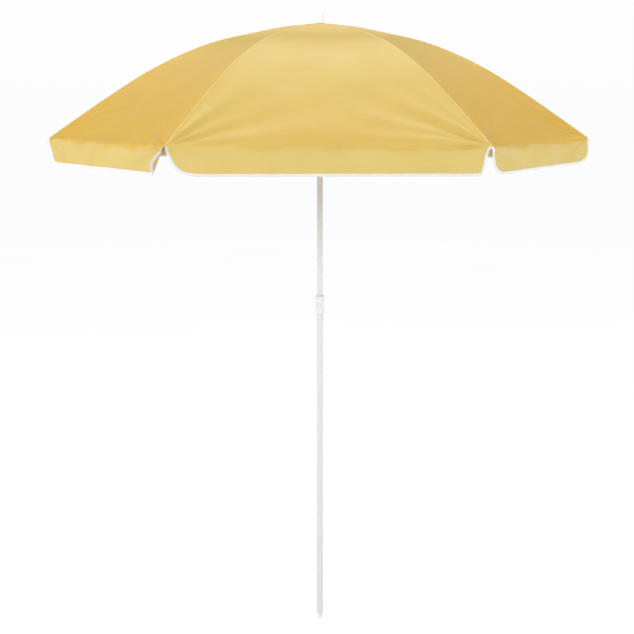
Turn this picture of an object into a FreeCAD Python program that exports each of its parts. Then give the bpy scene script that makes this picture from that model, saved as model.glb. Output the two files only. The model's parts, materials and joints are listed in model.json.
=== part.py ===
"""Beach umbrella: two-part steel pole, folding frame of six ribs and stretchers, and a canopy of half gores.

The origin is the point of the ground spike, +Z runs up the pole, and the gore at -Y is the front one.
Lengths are in millimetres and angles in degrees.
"""

import FreeCAD
import Part
import math
import os
import Sketcher

RIB_COUNT = 6
RIB_STEP = 360 / RIB_COUNT
Y_AXIS, Z_AXIS = FreeCAD.Vector(0, 1, 0), FreeCAD.Vector(0, 0, 1)

DIMENSIONS = {
    # pole
    "lower_radius": 11.0,
    "lower_bore": 10.0,
    "lower_top": 1062.0,
    "upper_radius": 9.5,
    "upper_bore": 8.5,
    "upper_bottom": 920.0,
    "upper_top": 1978.0,
    # ground spike
    "spike_height": 28.0,
    "spike_point": 1.6,
    "spike_plug_top": 70.0,
    # clamp and sleeve where the two tubes meet
    "clamp_bottom": 1038.0,
    "clamp_shoulder": 1053.0,
    "clamp_top": 1100.0,
    "clamp_seat": 10.7,
    "clamp_skirt": 11.85,
    "clamp_radius": 12.4,
    "clamp_grip": 9.55,
    "sleeve_bottom": 1053.3,
    "sleeve_taper_top": 1058.0,
    "sleeve_inner_top": 1100.6,
    "sleeve_top": 1117.0,
    "sleeve_radius": 14.25,
    "sleeve_mouth": 12.9,
    "sleeve_bore": 12.45,
    "sleeve_top_bore": 9.85,
    # crown
    "pivot_radius": 20.0,
    "pivot_height": 1976.0,
    "hub_radius": 26.6,
    "hub_top_radius": 18.6,
    "hub_bottom": 1960.0,
    "hub_shoulder": 1972.8,
    "hub_top": 1981.9,
    "hub_hole": 5.0,
    "ring_wire": 1.2,
    "finial_bottom": 1983.8,
    "finial_top": 2028.0,
    "finial_radius": 17.6,
    "stud_bottom": 1964.0,
    # frame
    "rib_wire": 2.0,
    "rib_end": 864.0,
    "rib_end_height": 1621.5,
    "clip_radius": 345.0,
    "clip_drop": 7.0,
    "stretcher_wire": 1.75,
    "stretcher_length": 395.0,
    "runner_pin_radius": 22.0,
    # canopy
    "canopy_lift": 4.0,
    "cloth": 0.8,
    "crown_flat": 26.0,
    "crown_hole": 6.0,
    "crown_height": 1982.5,
    "valance_bottom": 1547.0,
}
# where the rib bends between the crown and its end: distance from the pole's axis and height
RIB_BENDS = ((110.0, 1972.0), (350.0, 1923.0), (530.0, 1843.0), (700.0, 1735.0))
BEND_SHARE = 0.45

doc = FreeCAD.newDocument("beach_umbrella")
sheet = doc.addObject("Spreadsheet::Sheet", "Dimensions")
bend_cells = {}
for number, (bend_radius, bend_height) in enumerate(RIB_BENDS, 1):
    bend_cells[f"bend_radius_{number}"] = bend_radius
    bend_cells[f"bend_height_{number}"] = bend_height
ALL_SIZES = {**DIMENSIONS, **bend_cells}
for row, (alias, number) in enumerate(ALL_SIZES.items(), 1):
    sheet.set(f"A{row}", alias.replace("_", " "))
    sheet.set(f"B{row}", str(number))
    sheet.setAlias(f"B{row}", alias)
doc.recompute()


class Size:
    """A length with its value and the expression that works it out from the sheet."""

    def __init__(self, value, text):
        self.value = value
        self.text = text

    def __add__(self, other):
        other = as_size(other)
        return Size(self.value + other.value, f"({self.text} + {other.text})")

    def __sub__(self, other):
        other = as_size(other)
        return Size(self.value - other.value, f"({self.text} - {other.text})")

    def __mul__(self, factor):
        return Size(self.value * factor, f"({self.text} * {factor})")


def as_size(length):
    """A Size from a Size or a plain number of millimetres."""
    return length if isinstance(length, Size) else Size(float(length), f"{float(length)} mm")


def dim(alias):
    """The sheet's dimension with this alias."""
    return Size(ALL_SIZES[alias], f"Dimensions.{alias} * 1 mm")


# ---------------------------------------------------------------- building blocks


def new_body(name):
    """An empty body whose label is the node's name."""
    body = doc.addObject("PartDesign::Body", name)
    body.Label = name
    return body


def sketch_on(body, plane, name, offset=0.0):
    """A sketch on one of the body's own origin planes, moved along the plane's normal by offset."""
    sketch = body.newObject("Sketcher::SketchObject", f"{body.Name}_{name}")
    face = next(f for f in body.Origin.OriginFeatures if f.Role == plane)
    sketch.AttachmentSupport = [(face, "")]
    sketch.MapMode = "FlatFace"
    sketch.AttachmentOffset = FreeCAD.Placement(Z_AXIS * offset, FreeCAD.Rotation())
    return sketch


def place_point(sketch, edge, end, point):
    """Ties one end of an edge to its two coordinates, each bound to the sheet."""
    for kind, coordinate, axis in (("DistanceX", point[0], -2), ("DistanceY", point[1], -1)):
        size = as_size(coordinate)
        if abs(size.value) < 1e-9:
            sketch.addConstraint(Sketcher.Constraint("PointOnObject", edge, end, axis))
            continue
        index = sketch.addConstraint(Sketcher.Constraint(kind, -1, 1, edge, end, size.value))
        sketch.setExpression(f"Constraints[{index}]", size.text)


def outline(sketch, points):
    """A closed outline of straight edges through the points."""
    corners = [FreeCAD.Vector(as_size(x).value, as_size(y).value, 0) for x, y in points]
    count = len(corners)
    for number, corner in enumerate(corners):
        sketch.addGeometry(Part.LineSegment(corner, corners[(number + 1) % count]))
    for number in range(count):
        sketch.addConstraint(Sketcher.Constraint("Coincident", number, 2, (number + 1) % count, 1))
        place_point(sketch, number, 1, points[number])


def circle(sketch, x, y, radius):
    """A circle with its centre and radius bound to the sheet."""
    size = as_size(radius)
    centre = FreeCAD.Vector(as_size(x).value, as_size(y).value, 0)
    edge = sketch.addGeometry(Part.Circle(centre, Z_AXIS, size.value))
    place_point(sketch, edge, 3, (x, y))
    index = sketch.addConstraint(Sketcher.Constraint("Radius", edge, size.value))
    sketch.setExpression(f"Constraints[{index}]", size.text)


def turned(name, points):
    """A body turned about the pole's axis from an outline of (radius, height) points."""
    body = new_body(name)
    sketch = sketch_on(body, "XZ_Plane", "profile")
    outline(sketch, points)
    feature = body.newObject("PartDesign::Revolution", f"{name}_turned")
    feature.Profile = sketch
    feature.ReferenceAxis = (sketch, ["V_Axis"])
    feature.Angle = 360
    return body


def pad(body, sketch, length, both_ways=False, reverse=False):
    """Adds the sketch's outline, pushed out by a length."""
    feature = body.newObject("PartDesign::Pad", f"{sketch.Name}_pad")
    feature.Profile = sketch
    feature.Length = as_size(length).value
    feature.setExpression("Length", as_size(length).text)
    feature.Midplane = both_ways
    feature.Reversed = reverse
    return feature


def pocket(body, sketch, both_ways=True, reverse=False, length=None):
    """Cuts the sketch's outline away, right through or to a length."""
    feature = body.newObject("PartDesign::Pocket", f"{sketch.Name}_cut")
    feature.Profile = sketch
    if length is None:
        feature.Type = "ThroughAll"
    else:
        feature.Length = length
    feature.Midplane = both_ways
    feature.Reversed = reverse
    return feature


def around_pole(body, feature, count):
    """Repeats a feature evenly about the body's own Z axis."""
    pattern = body.newObject("PartDesign::PolarPattern", f"{feature.Name}_pattern")
    pattern.Originals = [feature]
    pattern.Axis = (next(f for f in body.Origin.OriginFeatures if f.Role == "Z_Axis"), [""])
    pattern.Angle = 360
    pattern.Occurrences = count
    body.Tip = pattern
    return pattern


# ---------------------------------------------------------------- the rib's route and the linkage


def rib_corners():
    """The rib's corners, as (distance from the pole's axis, height), from the crown pivot to its end."""
    bends = [(dim(f"bend_radius_{n}"), dim(f"bend_height_{n}")) for n in range(1, len(RIB_BENDS) + 1)]
    start = (dim("pivot_radius"), dim("pivot_height"))
    return [start, *bends, (dim("rib_end"), dim("rib_end_height"))]


def rib_route():
    """The rib's centre line in its own upright plane, from the crown pivot: lines and tangent arcs."""
    start = FreeCAD.Vector(DIMENSIONS["pivot_radius"], DIMENSIONS["pivot_height"], 0)
    corners = [FreeCAD.Vector(r.value, z.value, 0) - start for r, z in rib_corners()]
    edges, here = [], corners[0]
    for before, corner, after in zip(corners, corners[1:], corners[2:]):
        inward = (corner - before).normalize()
        outward = (after - corner).normalize()
        reach = BEND_SHARE * min(corner.distanceToPoint(before), corner.distanceToPoint(after))
        first, last = corner - inward * reach, corner + outward * reach
        turn = inward.getAngle(outward)
        depth = reach * math.tan(turn / 4)
        middle = (first + last) * 0.5 + ((corner - (first + last) * 0.5).normalize() * depth)
        edges += [Part.LineSegment(here, first), Part.Arc(first, middle, last)]
        here = last
    edges.append(Part.LineSegment(here, corners[-1]))
    return edges


def route_at(radius):
    """The point of the rib's route at a distance from the pole's axis, and its slope, from the pivot."""
    upright = Part.LineSegment(
        FreeCAD.Vector(radius - DIMENSIONS["pivot_radius"], -1000, 0),
        FreeCAD.Vector(radius - DIMENSIONS["pivot_radius"], 1000, 0),
    ).toShape()
    wire = Part.Wire([edge.toShape() for edge in rib_route()])
    _, pairs, _ = wire.distToShape(upright)
    point = pairs[0][0]
    edge = min(wire.Edges, key=lambda e: e.distToShape(Part.Vertex(point))[0])
    along = edge.tangentAt(edge.Curve.parameter(point))
    along = along if along.x > 0 else along * -1
    return point, math.degrees(math.atan2(-along.y, along.x))


def rib_placement(azimuth, point=None, slope=0.0):
    """Stands a piece drawn in the rib's own frame at the crown pivot, or on its route, sloping down."""
    point = point or FreeCAD.Vector(0, 0, 0)
    radius = DIMENSIONS["pivot_radius"] + point.x
    height = DIMENSIONS["pivot_height"] + point.y
    turn = FreeCAD.Rotation(Z_AXIS, azimuth)
    base = turn.multVec(FreeCAD.Vector(radius, 0, height))
    return FreeCAD.Placement(base, turn.multiply(FreeCAD.Rotation(Y_AXIS, slope)))


CLIP_POINT, CLIP_SLOPE = route_at(DIMENSIONS["clip_radius"])
CLIP_DOWN = FreeCAD.Vector(-math.sin(math.radians(CLIP_SLOPE)), -math.cos(math.radians(CLIP_SLOPE)), 0)
RIVET_POINT = CLIP_POINT + CLIP_DOWN * DIMENSIONS["clip_drop"]
RIVET_RADIUS = DIMENSIONS["pivot_radius"] + RIVET_POINT.x
RIVET_HEIGHT = DIMENSIONS["pivot_height"] + RIVET_POINT.y
STRETCHER_REACH = RIVET_RADIUS - DIMENSIONS["runner_pin_radius"]
STRETCHER_SLOPE = math.degrees(math.acos(STRETCHER_REACH / DIMENSIONS["stretcher_length"]))
RUNNER_PIN_HEIGHT = RIVET_HEIGHT - DIMENSIONS["stretcher_length"] * math.sin(math.radians(STRETCHER_SLOPE))

# ---------------------------------------------------------------- lower pole


def make_lower_tube():
    """Steel tube of the lower pole, turned down a little where the clamp is pressed on."""
    bottom = dim("spike_height")
    points = [
        (dim("lower_bore"), bottom),
        (dim("lower_radius"), bottom),
        (dim("lower_radius"), dim("clamp_bottom")),
        (dim("clamp_seat"), dim("clamp_bottom")),
        (dim("clamp_seat"), dim("lower_top")),
        (dim("lower_bore"), dim("lower_top")),
    ]
    return turned("lower_tube", points)


def make_ground_spike():
    """Pointed plastic foot with a plug that is pressed into the lower tube."""
    shoulder = dim("spike_height")
    points = [
        (0, 0),
        (dim("spike_point"), 0),
        (dim("lower_radius") - 0.5, shoulder - 6.6),
        (dim("lower_radius") - 1.0, shoulder - 6.0),
        (dim("lower_radius") - 1.0, shoulder - 4.6),
        (dim("lower_radius"), shoulder - 4.0),
        (dim("lower_radius"), shoulder),
        (dim("lower_bore"), shoulder),
        (dim("lower_bore"), dim("spike_plug_top") - 3),
        (dim("lower_bore") - 2, dim("spike_plug_top")),
        (0, dim("spike_plug_top")),
    ]
    return turned("ground_spike", points)


def make_pole_clamp():
    """Clamp on the top of the lower tube: a skirt over the tube and a slotted neck round the upper tube."""
    points = [
        (dim("clamp_seat"), dim("clamp_bottom")),
        (dim("clamp_skirt"), dim("clamp_bottom")),
        (dim("clamp_skirt"), dim("clamp_shoulder")),
        (dim("clamp_radius"), dim("clamp_shoulder")),
        (dim("clamp_radius"), dim("clamp_top") - 2),
        (dim("clamp_radius") - 1, dim("clamp_top")),
        (dim("clamp_grip"), dim("clamp_top")),
        (dim("clamp_grip"), dim("lower_top")),
        (dim("clamp_seat"), dim("lower_top")),
    ]
    body = turned("pole_clamp", points)
    slot = sketch_on(body, "XZ_Plane", "slot")
    slot_half_width = 0.8
    slot_bottom = dim("lower_top") + 8
    outline(
        slot,
        [
            (-slot_half_width, slot_bottom),
            (slot_half_width, slot_bottom),
            (slot_half_width, dim("clamp_top") + 1),
            (-slot_half_width, dim("clamp_top") + 1),
        ],
    )
    around_pole(body, pocket(body, slot), 2)
    return body


def make_pole_sleeve():
    """Grip sleeve that turns on the clamp, with shallow finger grooves."""
    points = [
        (dim("sleeve_bore"), dim("sleeve_bottom")),
        (dim("sleeve_mouth"), dim("sleeve_bottom")),
        (dim("sleeve_radius"), dim("sleeve_taper_top")),
        (dim("sleeve_radius"), dim("sleeve_top") - 2),
        (dim("sleeve_radius") - 1.5, dim("sleeve_top")),
        (dim("sleeve_top_bore"), dim("sleeve_top")),
        (dim("sleeve_top_bore"), dim("sleeve_inner_top")),
        (dim("sleeve_bore"), dim("sleeve_inner_top")),
    ]
    body = turned("pole_sleeve", points)
    groove = sketch_on(body, "XY_Plane", "groove", DIMENSIONS["sleeve_top"] - 6)
    groove_radius, groove_depth, groove_length, groove_count = 1.6, 0.35, 50.0, 16
    circle(groove, dim("sleeve_radius") + groove_radius - groove_depth, 0, groove_radius)
    around_pole(body, pocket(body, groove, both_ways=False, length=groove_length), groove_count)
    return body


# ---------------------------------------------------------------- upper pole and crown

CATCH_WIDTH = 5.0
RUNNER_LENGTH = 50.0
CATCH_TOP = RUNNER_PIN_HEIGHT - RUNNER_LENGTH - 0.5
CATCH_HEIGHT = 30.0


def make_upper_tube():
    """Steel tube of the upper pole, with the window that the catch spring comes out of."""
    points = [
        (dim("upper_bore"), dim("upper_bottom")),
        (dim("upper_radius"), dim("upper_bottom")),
        (dim("upper_radius"), dim("upper_top")),
        (dim("upper_bore"), dim("upper_top")),
    ]
    body = turned("upper_tube", points)
    window = sketch_on(body, "XZ_Plane", "window")
    half, clear = CATCH_WIDTH / 2 + 0.5, 2.0
    bottom, top = CATCH_TOP - CATCH_HEIGHT - clear, CATCH_TOP + clear
    outline(window, [(-half, bottom), (half, bottom), (half, top), (-half, top)])
    pocket(body, window, both_ways=False, reverse=True)
    return body


def make_tube_plug():
    """Plug in the bottom of the upper tube that keeps it central in the lower tube."""
    bottom = dim("upper_bottom")
    running_gap = 0.05
    points = [
        (0, bottom - 10),
        (dim("lower_bore") - 1, bottom - 10),
        (dim("lower_bore") - running_gap, bottom - 8),
        (dim("lower_bore") - running_gap, bottom),
        (dim("upper_bore"), bottom),
        (dim("upper_bore"), bottom + 22),
        (0, bottom + 22),
    ]
    return turned("tube_plug", points)


def make_crown_hub():
    """Notched hub on the upper tube, tapered under the cloth: six slots take the rib eyes."""
    points = [
        (dim("upper_radius"), dim("hub_bottom")),
        (dim("hub_radius") - 3, dim("hub_bottom")),
        (dim("hub_radius"), dim("hub_bottom") + 4),
        (dim("hub_radius"), dim("hub_shoulder")),
        (dim("hub_top_radius"), dim("hub_top")),
        (dim("hub_hole"), dim("hub_top")),
        (dim("hub_hole"), dim("upper_top")),
        (dim("upper_radius"), dim("upper_top")),
    ]
    body = turned("crown_hub", points)
    slot = sketch_on(body, "XY_Plane", "slot", DIMENSIONS["hub_top"] - 1.5)
    half, inner, outer = 2.4, dim("pivot_radius") - 6.5, dim("hub_radius") + 3
    outline(slot, [(inner, -half), (outer, -half), (outer, half), (inner, half)])
    around_pole(body, pocket(body, slot, both_ways=False), RIB_COUNT)
    tunnel = sketch_on(body, "XZ_Plane", "wire_tunnel")
    circle(tunnel, dim("pivot_radius"), dim("pivot_height"), dim("ring_wire") + 0.05)
    groove = body.newObject("PartDesign::Groove", "crown_hub_wire_tunnel_cut")
    groove.Profile = tunnel
    groove.ReferenceAxis = (tunnel, ["V_Axis"])
    groove.Angle = 360
    return body


def make_crown_ring():
    """Wire ring in the hub that every rib hinges on."""
    ring = doc.addObject("Part::Torus", "crown_ring")
    ring.Label = "crown_ring"
    ring.setExpression("Radius1", dim("pivot_radius").text)
    ring.setExpression("Radius2", dim("ring_wire").text)
    ring.Placement = FreeCAD.Placement(Z_AXIS * DIMENSIONS["pivot_height"], FreeCAD.Rotation())
    return ring


def make_finial():
    """Fluted cap on the crown, with the stud that goes down through the canopy and the hub."""
    bottom, top, radius = dim("finial_bottom"), dim("finial_top"), dim("finial_radius")
    points = [
        (0, dim("stud_bottom")),
        (dim("hub_hole"), dim("stud_bottom")),
        (dim("hub_hole"), bottom),
        (radius - 1, bottom),
        (radius, bottom + 2),
        (radius - 10, top - 3),
        (radius - 12, top - 1),
        (radius - 14.5, top),
        (0, top),
    ]
    body = turned("finial_cap", points)
    below, flute_radius, flute_count = 2.0, 1.6, 12
    path = sketch_on(body, "XZ_Plane", "flute_path")
    start = (DIMENSIONS["finial_radius"] + 1.9, DIMENSIONS["finial_bottom"] - below)
    end = (DIMENSIONS["finial_radius"] - 9.85, DIMENSIONS["finial_top"])
    path.addGeometry(Part.LineSegment(FreeCAD.Vector(*start, 0), FreeCAD.Vector(*end, 0)))
    section = sketch_on(body, "XY_Plane", "flute_section", start[1])
    circle(section, radius + 1.9, 0, flute_radius)
    flute = body.newObject("PartDesign::SubtractivePipe", "finial_cap_flute")
    flute.Profile = section
    flute.Spine = path
    around_pole(body, flute, flute_count)
    return body


def make_catch_spring():
    """Leaf spring in the upper tube: its nose stands out under the runner and holds it up."""
    body = new_body("catch_spring")
    sketch = sketch_on(body, "YZ_Plane", "side")
    inside, nose = DIMENSIONS["upper_bore"] - 0.6, DIMENSIONS["upper_radius"] + 3.4
    leaf, top, bottom = 0.9, CATCH_TOP, CATCH_TOP - CATCH_HEIGHT
    outline(
        sketch,
        [
            (-inside, bottom - 30),
            (-inside, bottom + 2),
            (-nose, top),
            (-(nose - 3), top),
            (-(inside - 1.2), top - 3),
            (-(inside - leaf), bottom + 2),
            (-(inside - leaf), bottom - 30),
        ],
    )
    pad(body, sketch, CATCH_WIDTH, both_ways=True)
    return body


# ---------------------------------------------------------------- folding frame


def make_rib(number):
    """Wire rib with a flattened eye at the crown."""
    body = new_body(f"rib_{number}")
    route = sketch_on(body, "XZ_Plane", "route")
    for edge in rib_route():
        route.addGeometry(edge)
    section = sketch_on(body, "YZ_Plane", "section")
    circle(section, 0, 0, dim("rib_wire"))
    wire = body.newObject("PartDesign::AdditivePipe", f"rib_{number}_wire")
    wire.Profile = section
    wire.Spine = route
    eye = sketch_on(body, "XZ_Plane", "eye")
    circle(eye, 0, 0, dim("rib_wire") * 2)
    pad(body, eye, 3.2, both_ways=True)
    hole = sketch_on(body, "XZ_Plane", "hole")
    circle(hole, 0, 0, dim("ring_wire") + 0.1)
    pocket(body, hole)
    body.Placement = rib_placement(RIB_STEP * (number - 1))
    return body


def make_rib_tip(number):
    """Cap on the end of a rib that the canopy corner is sewn to."""
    body = new_body(f"rib_tip_{number}")
    sketch = sketch_on(body, "XZ_Plane", "profile")
    wire, cap = dim("rib_wire") + 0.05, dim("rib_wire") + 0.6
    end_gap, length = 0.2, 14.0
    outline(
        sketch,
        [
            (-13, wire),
            (-13, cap),
            (length - 3, cap),
            (length - 1, cap - 0.9),
            (length, cap - 2),
            (length, 0),
            (end_gap, 0),
            (end_gap, wire),
        ],
    )
    feature = body.newObject("PartDesign::Revolution", f"rib_tip_{number}_turned")
    feature.Profile = sketch
    feature.ReferenceAxis = (sketch, ["H_Axis"])
    feature.Angle = 360
    end, before = rib_corners()[-1], rib_corners()[-2]
    slope = math.degrees(math.atan2(before[1].value - end[1].value, end[0].value - before[0].value))
    start = FreeCAD.Vector(DIMENSIONS["pivot_radius"], DIMENSIONS["pivot_height"], 0)
    point = FreeCAD.Vector(end[0].value, end[1].value, 0) - start
    body.Placement = rib_placement(RIB_STEP * (number - 1), point, slope)
    return body


EAR_INNER, EAR_THICKNESS, EAR_RADIUS, CLIP_HALF_LENGTH = 2.1, 0.8, 3.6, 6.0


def make_rib_clip(number):
    """Saddle folded over the rib, whose two ears hold the stretcher's rivet."""
    body = new_body(f"rib_clip_{number}")
    saddle = sketch_on(body, "YZ_Plane", "saddle")
    outer, drop = EAR_INNER + EAR_THICKNESS, dim("clip_drop")
    outline(
        saddle,
        [
            (-outer, 2.0),
            (-outer + 0.9, 2.9),
            (outer - 0.9, 2.9),
            (outer, 2.0),
            (outer, as_size(0) - drop - EAR_RADIUS),
            (EAR_INNER, as_size(0) - drop - EAR_RADIUS),
            (EAR_INNER, 2.1),
            (-EAR_INNER, 2.1),
            (-EAR_INNER, as_size(0) - drop - EAR_RADIUS),
            (-outer, as_size(0) - drop - EAR_RADIUS),
        ],
    )
    pad(body, saddle, 2 * CLIP_HALF_LENGTH, both_ways=True)
    hole = sketch_on(body, "XZ_Plane", "rivet_hole")
    circle(hole, 0, as_size(0) - drop, 1.2)
    pocket(body, hole)
    body.Placement = rib_placement(RIB_STEP * (number - 1), CLIP_POINT, CLIP_SLOPE)
    return body


def make_rib_rivet(number):
    """Rivet through the clip's ears and the stretcher's eye."""
    body = new_body(f"rib_rivet_{number}")
    sketch = sketch_on(body, "YZ_Plane", "profile")
    shank, head, inside = 1.2, 2.2, EAR_INNER + EAR_THICKNESS
    outline(
        sketch,
        [
            (-inside - 0.8, 0),
            (-inside - 0.8, head - 0.5),
            (-inside - 0.4, head),
            (-inside, head),
            (-inside, shank),
            (inside, shank),
            (inside, head),
            (inside + 0.4, head),
            (inside + 0.8, head - 0.5),
            (inside + 0.8, 0),
        ],
    )
    feature = body.newObject("PartDesign::Revolution", f"rib_rivet_{number}_turned")
    feature.Profile = sketch
    feature.ReferenceAxis = (sketch, ["H_Axis"])
    feature.Angle = 360
    body.Placement = rib_placement(RIB_STEP * (number - 1), RIVET_POINT, CLIP_SLOPE)
    return body


PIN_RADIUS, PIN_HALF_LENGTH = 1.5, 4.5


def make_stretcher(number):
    """Stretcher rod with an eye at the rib and a cross pin that sits in the runner."""
    body = new_body(f"stretcher_{number}")
    rod = sketch_on(body, "YZ_Plane", "rod")
    circle(rod, 0, 0, dim("stretcher_wire"))
    pad(body, rod, dim("stretcher_length"))
    eye = sketch_on(body, "XZ_Plane", "eye")
    circle(eye, 0, 0, 3.2)
    pad(body, eye, 3.4, both_ways=True)
    hole = sketch_on(body, "XZ_Plane", "hole")
    circle(hole, 0, 0, 1.25)
    pocket(body, hole)
    pin = sketch_on(body, "XZ_Plane", "pin")
    circle(pin, dim("stretcher_length"), 0, PIN_RADIUS)
    pad(body, pin, 2 * PIN_HALF_LENGTH, both_ways=True)
    slope = 180 - STRETCHER_SLOPE
    body.Placement = rib_placement(RIB_STEP * (number - 1), RIVET_POINT, slope)
    return body


def make_runner():
    """Runner that slides on the upper tube; the stretchers' cross pins sit under its slotted flange."""
    grip_bottom, lug_bottom, flange_bottom, top = -RUNNER_LENGTH, -8.0, PIN_RADIUS + 0.4, 9.0
    sleeve, flange = 13.5, 29.0
    points = [
        (dim("upper_radius") + 0.05, grip_bottom),
        (sleeve, grip_bottom),
        (sleeve, -24),
        (sleeve + 2.5, -20),
        (sleeve + 2.5, lug_bottom),
        (flange, lug_bottom),
        (flange, top - 1.5),
        (flange - 2, top),
        (dim("upper_radius") + 0.05, top),
    ]
    body = turned("runner", points)
    socket = sketch_on(body, "XY_Plane", "socket", flange_bottom)
    socket_half, socket_start = PIN_HALF_LENGTH + 1, sleeve + 4.5
    outline(
        socket,
        [
            (socket_start, -socket_half),
            (flange + 3, -socket_half),
            (flange + 3, socket_half),
            (socket_start, socket_half),
        ],
    )
    around_pole(body, pocket(body, socket, both_ways=False), RIB_COUNT)
    slot = sketch_on(body, "XY_Plane", "rod_slot", top + 1)
    slot_half = 2.5
    outline(
        slot,
        [
            (socket_start, -slot_half),
            (flange + 3, -slot_half),
            (flange + 3, slot_half),
            (socket_start, slot_half),
        ],
    )
    around_pole(body, pocket(body, slot, both_ways=False), RIB_COUNT)
    body.Placement = FreeCAD.Placement(Z_AXIS * RUNNER_PIN_HEIGHT, FreeCAD.Rotation())
    return body


# ---------------------------------------------------------------- canopy

PANEL_GAP = 0.15
HALF_STEP = math.radians(RIB_STEP / 2)


def canopy_profile():
    """The gore's section along its middle, where it lies nearer the pole than its ribs do."""
    across = math.cos(HALF_STEP)
    crown = dim("crown_height")
    under = [(dim("crown_hole") * across, crown), (dim("crown_flat") * across, crown)]
    for radius, height in rib_corners()[1:]:
        under.append((radius * across, height + dim("canopy_lift")))
    rim_radius, rim_height = under[-1]
    hem = [(rim_radius, dim("valance_bottom")), (rim_radius + dim("cloth"), dim("valance_bottom"))]
    over = [(rim_radius + dim("cloth"), rim_height + dim("cloth"))]
    over += [(radius, height + dim("cloth")) for radius, height in reversed(under[:-1])]
    return under + hem + over


def make_half_gore(number, side):
    """Half of the gore between one rib and the next: side +1 hangs on this rib, -1 on the next one."""
    name = f"canopy_{number}_{'left' if side > 0 else 'right'}"
    body = new_body(name)
    length = dim("rib_end") * math.sin(HALF_STEP) + 10
    section = sketch_on(body, "XZ_Plane", "section", PANEL_GAP * side)
    outline(section, canopy_profile())
    pad(body, section, length, reverse=side < 0)
    seam = sketch_on(body, "XY_Plane", "seam")
    start, reach = -20.0, DIMENSIONS["rib_end"] + 60
    slope = math.tan(HALF_STEP)
    seam_gap = PANEL_GAP / math.cos(HALF_STEP)
    far = reach * slope + 40
    outline(
        seam,
        [
            (start, -side * (start * slope - seam_gap)),
            (reach, -side * (reach * slope - seam_gap)),
            (reach, -side * far),
            (start, -side * far),
        ],
    )
    pocket(body, seam)
    notch = sketch_on(body, "YZ_Plane", "notch")
    rim = DIMENSIONS["rib_end"] * math.sin(HALF_STEP)
    crease = DIMENSIONS["rib_end_height"] + DIMENSIONS["canopy_lift"] - 0.5
    hem = DIMENSIONS["valance_bottom"]
    corners = [
        (rim - 8, crease),
        (rim - 12, hem + 52),
        (rim - 20, hem + 33),
        (rim - 32, hem + 16),
        (rim - 50, hem + 4),
        (rim - 66, hem - 0.5),
        (rim - 66, hem - 20),
        (rim + 30, hem - 20),
        (rim + 30, crease),
    ]
    outline(notch, [(-side * across, height) for across, height in corners])
    pocket(body, notch)
    azimuth = RIB_STEP * (number - 0.5)
    body.Placement = FreeCAD.Placement(FreeCAD.Vector(), FreeCAD.Rotation(Z_AXIS, azimuth))
    return body


# ---------------------------------------------------------------- document

pieces = [
    make_lower_tube(),
    make_ground_spike(),
    make_pole_clamp(),
    make_pole_sleeve(),
    make_upper_tube(),
    make_tube_plug(),
    make_crown_hub(),
    make_crown_ring(),
    make_finial(),
    make_catch_spring(),
    make_runner(),
]
for rib_number in range(1, RIB_COUNT + 1):
    pieces += [
        make_rib(rib_number),
        make_rib_tip(rib_number),
        make_rib_clip(rib_number),
        make_rib_rivet(rib_number),
        make_stretcher(rib_number),
        make_half_gore(rib_number, 1),
        make_half_gore(rib_number, -1),
    ]
doc.recompute()

faults = [thing.Label for thing in doc.Objects if {"Invalid", "Error"} & set(thing.State)]
faults += [piece.Label for piece in pieces if piece.Shape.isNull() or not piece.Shape.isValid()]
if faults:
    raise RuntimeError(f"these failed: {faults}")

os.makedirs("parts", exist_ok=True)
for piece in pieces:
    piece.Shape.exportStep(os.path.join("parts", f"{piece.Label}.step"))
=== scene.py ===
import json
import math

import bpy
import numpy as np
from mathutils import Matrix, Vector


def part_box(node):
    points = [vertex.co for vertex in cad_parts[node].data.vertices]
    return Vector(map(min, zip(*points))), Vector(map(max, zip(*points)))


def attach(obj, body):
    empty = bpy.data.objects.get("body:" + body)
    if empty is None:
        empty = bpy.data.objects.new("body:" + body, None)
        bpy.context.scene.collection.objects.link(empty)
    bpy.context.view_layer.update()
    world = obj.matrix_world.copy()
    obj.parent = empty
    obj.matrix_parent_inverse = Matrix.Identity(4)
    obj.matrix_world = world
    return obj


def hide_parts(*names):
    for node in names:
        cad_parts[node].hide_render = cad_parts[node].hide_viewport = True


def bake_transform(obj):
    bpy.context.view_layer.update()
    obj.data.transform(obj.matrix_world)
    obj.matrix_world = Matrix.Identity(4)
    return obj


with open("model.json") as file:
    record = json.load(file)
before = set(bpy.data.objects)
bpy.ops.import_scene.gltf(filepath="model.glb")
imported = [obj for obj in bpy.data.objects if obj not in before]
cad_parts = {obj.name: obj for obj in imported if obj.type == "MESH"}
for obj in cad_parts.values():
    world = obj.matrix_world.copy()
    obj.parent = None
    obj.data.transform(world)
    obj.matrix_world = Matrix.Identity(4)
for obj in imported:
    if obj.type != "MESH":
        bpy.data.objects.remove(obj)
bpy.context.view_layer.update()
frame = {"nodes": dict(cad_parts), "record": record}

MM = 0.001
GORES = 6
HALF_ANGLE = math.pi / GORES
COS, SIN = math.cos(HALF_ANGLE), math.sin(HALF_ANGLE)
SIDES = {"left": -1, "right": 1}  # which side of the gore's middle, seen from outside with the crown up

# ---------------------------------------------------------------- the canopy's lines, from the CAD half gore


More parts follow.
